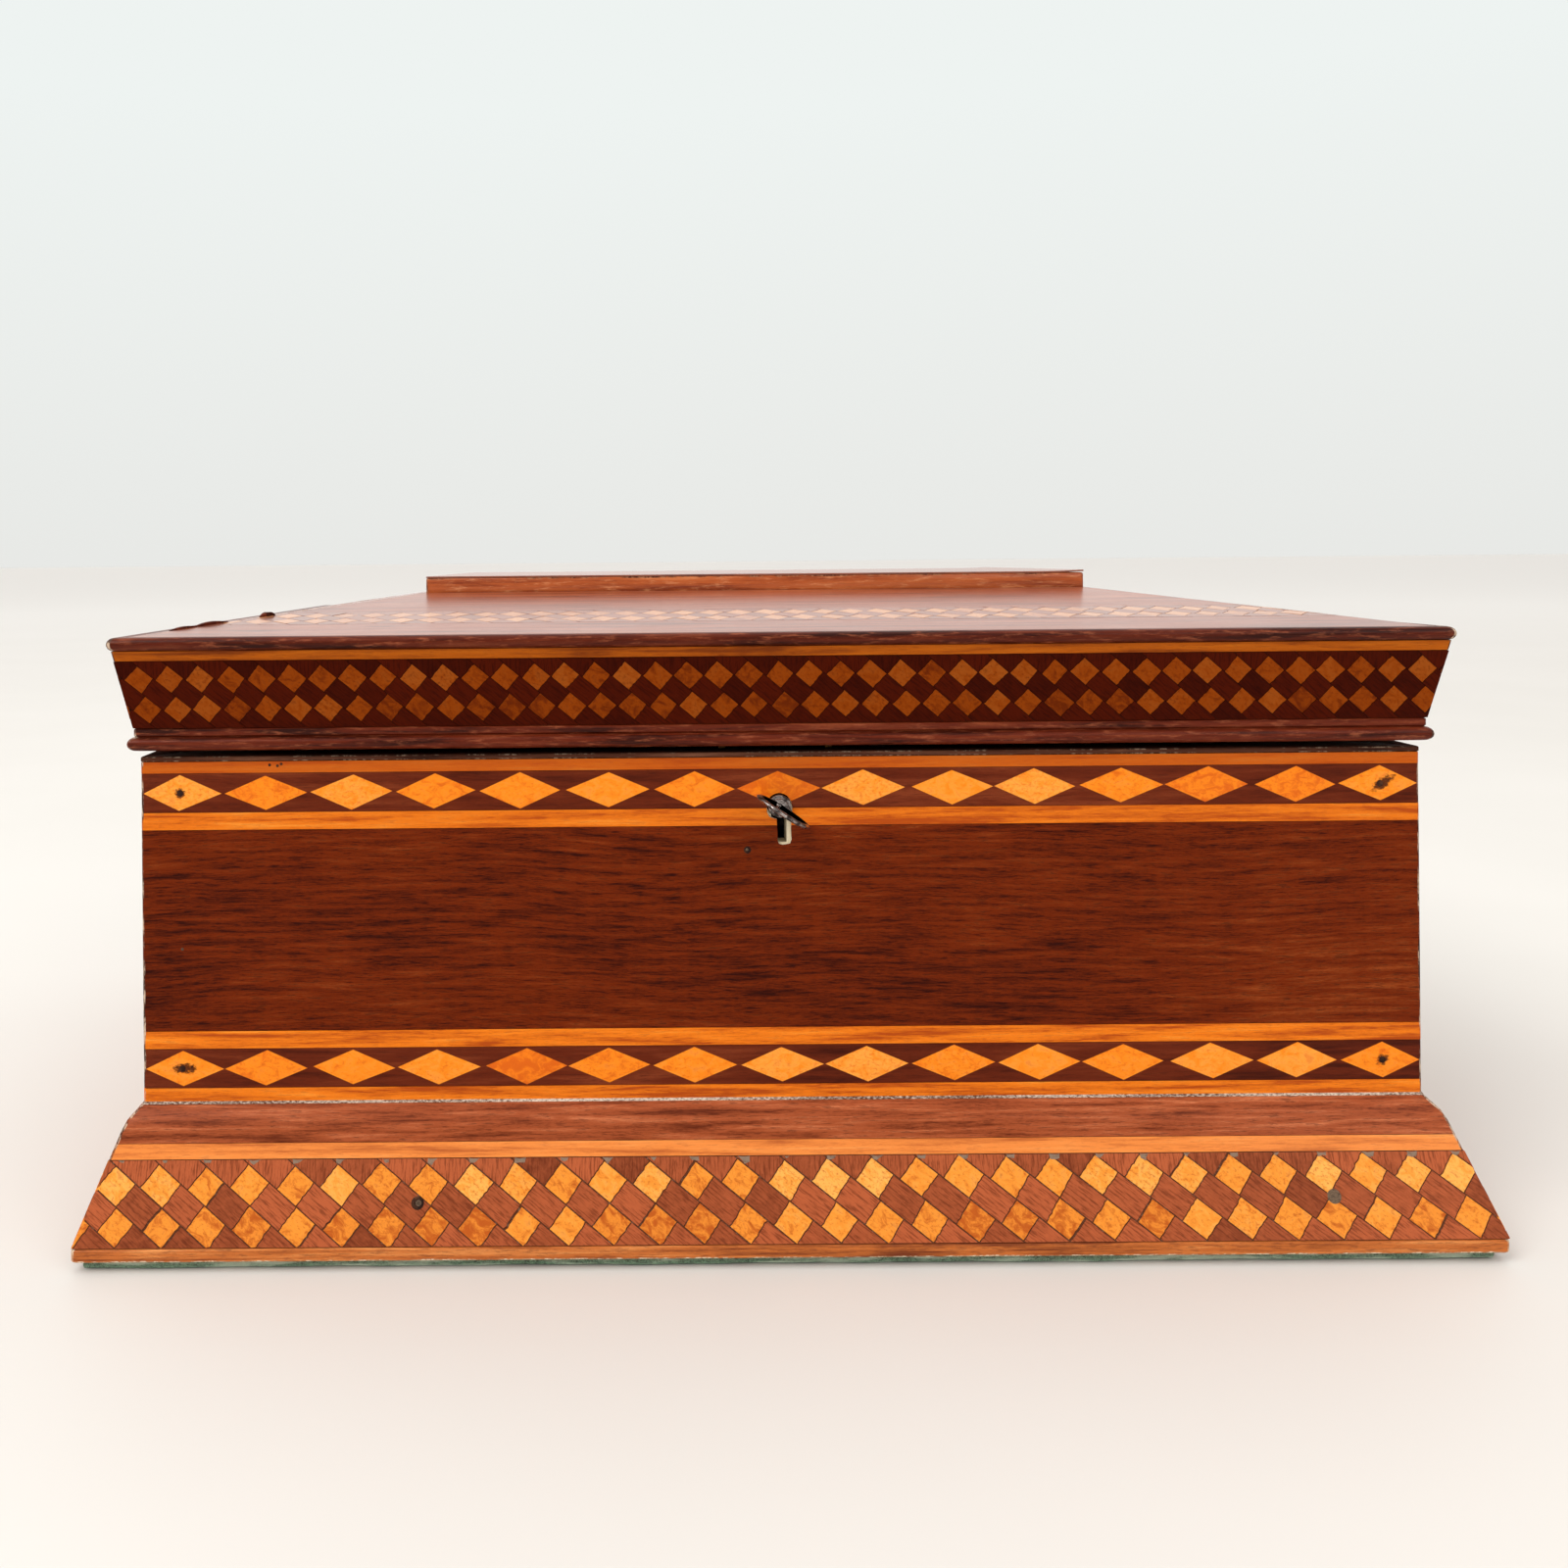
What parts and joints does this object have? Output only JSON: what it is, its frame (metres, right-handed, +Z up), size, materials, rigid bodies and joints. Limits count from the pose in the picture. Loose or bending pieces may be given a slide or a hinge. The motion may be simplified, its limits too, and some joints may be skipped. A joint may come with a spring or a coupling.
{
  "type": "work box",
  "caption": "Hinged wooden work box with parquetry bands, sloped plinth, hipped lid with raised panel, and a key in its lock.",
  "frame": {"origin": "middle of the underside of the baize, on the table", "axes": "+X to the right along the front, front and keyhole face -Y, +Z up"},
  "size_m": [0.3318, 0.2574, 0.1599],
  "materials": {
    "softwood": "planed pale pine",
    "mahogany": "worn french polish",
    "dark_veneer": "worn french polish",
    "light_inlay": "aged boxwood under amber polish",
    "chequer_banding": "light squares in dark wood, polished",
    "baize": "worn grey green felt",
    "lining": "thin faded lining paper",
    "brass_fittings": "aged satin brass",
    "steel_fittings": "worn steel",
    "iron_nails": "dark iron"
  },
  "bodies": {
    "case": {"base_board": "softwood", "front_wall": "softwood", "back_wall": "softwood", "left_wall": "softwood", "right_wall": "softwood", "plinth_front": "mahogany", "plinth_back": "mahogany", "plinth_left": "mahogany", "plinth_right": "mahogany", "front_field_veneer": "mahogany", "back_field_veneer": "mahogany", "left_field_veneer": "mahogany", "right_field_veneer": "mahogany", "lozenge_band_grounds": "dark_veneer", "rim_veneers": "dark_veneer", "plinth_edge_strings": "light_inlay", "plinth_slope_strings": "light_inlay", "body_strings": "light_inlay", "lower_lozenges": "light_inlay", "upper_lozenges": "light_inlay", "plinth_chequer_bands": "chequer_banding", "baize_pad": "baize", "case_lining": "lining", "left_hinge_case_leaf": "brass_fittings", "right_hinge_case_leaf": "brass_fittings", "left_hinge_pin": "steel_fittings", "right_hinge_pin": "steel_fittings", "hinge_case_screws": "steel_fittings", "lock_case": "steel_fittings", "lock_cap": "steel_fittings", "drill_pin": "steel_fittings", "bolt_spring": "steel_fittings", "lock_screws": "steel_fittings", "case_nails": "iron_nails"},
    "lid": {"left_hinge_lid_leaf": "brass_fittings", "right_hinge_lid_leaf": "brass_fittings", "hinge_lid_screws": "steel_fittings", "link_plate": "brass_fittings", "link_plate_screws": "steel_fittings", "lid_rail_front": "softwood", "lid_rail_back": "softwood", "lid_rail_left": "softwood", "lid_rail_right": "softwood", "lid_beads": "dark_veneer", "lid_fillets": "dark_veneer", "frieze_chequer_bands": "chequer_banding", "frieze_strings": "light_inlay", "lid_cornice": "dark_veneer", "lid_roof_board": "softwood", "roof_veneers": "mahogany", "roof_chequer_bands": "chequer_banding", "raised_panel": "mahogany", "panel_top_veneer": "dark_veneer", "lid_lining": "lining"},
    "key": {"key": "steel_fittings"},
    "bolt": {"lock_bolt": "steel_fittings"}
  },
  "joints": [
    {"name": "lid_hinge", "type": "hinge", "parent": "case", "child": "lid", "pos_m": [0, 0.115, 0.1181], "axis": [-1, 0, 0], "range_deg": [0, 100]},
    {"name": "key_turn", "type": "hinge", "parent": "case", "child": "key", "pos_m": [0, -0.1145, 0.1046], "axis": [0, -1, 0], "range_deg": [-58, 302]},
    {"name": "bolt_slide", "type": "slide", "parent": "case", "child": "bolt", "axis": [-1, 0, 0], "range_m": [-0.00065, 0.00336]}
  ],
  "couplings": [
    {"joint": "bolt_slide", "follows": "key_turn", "m_per_rad": 0.00063662}
  ]
}
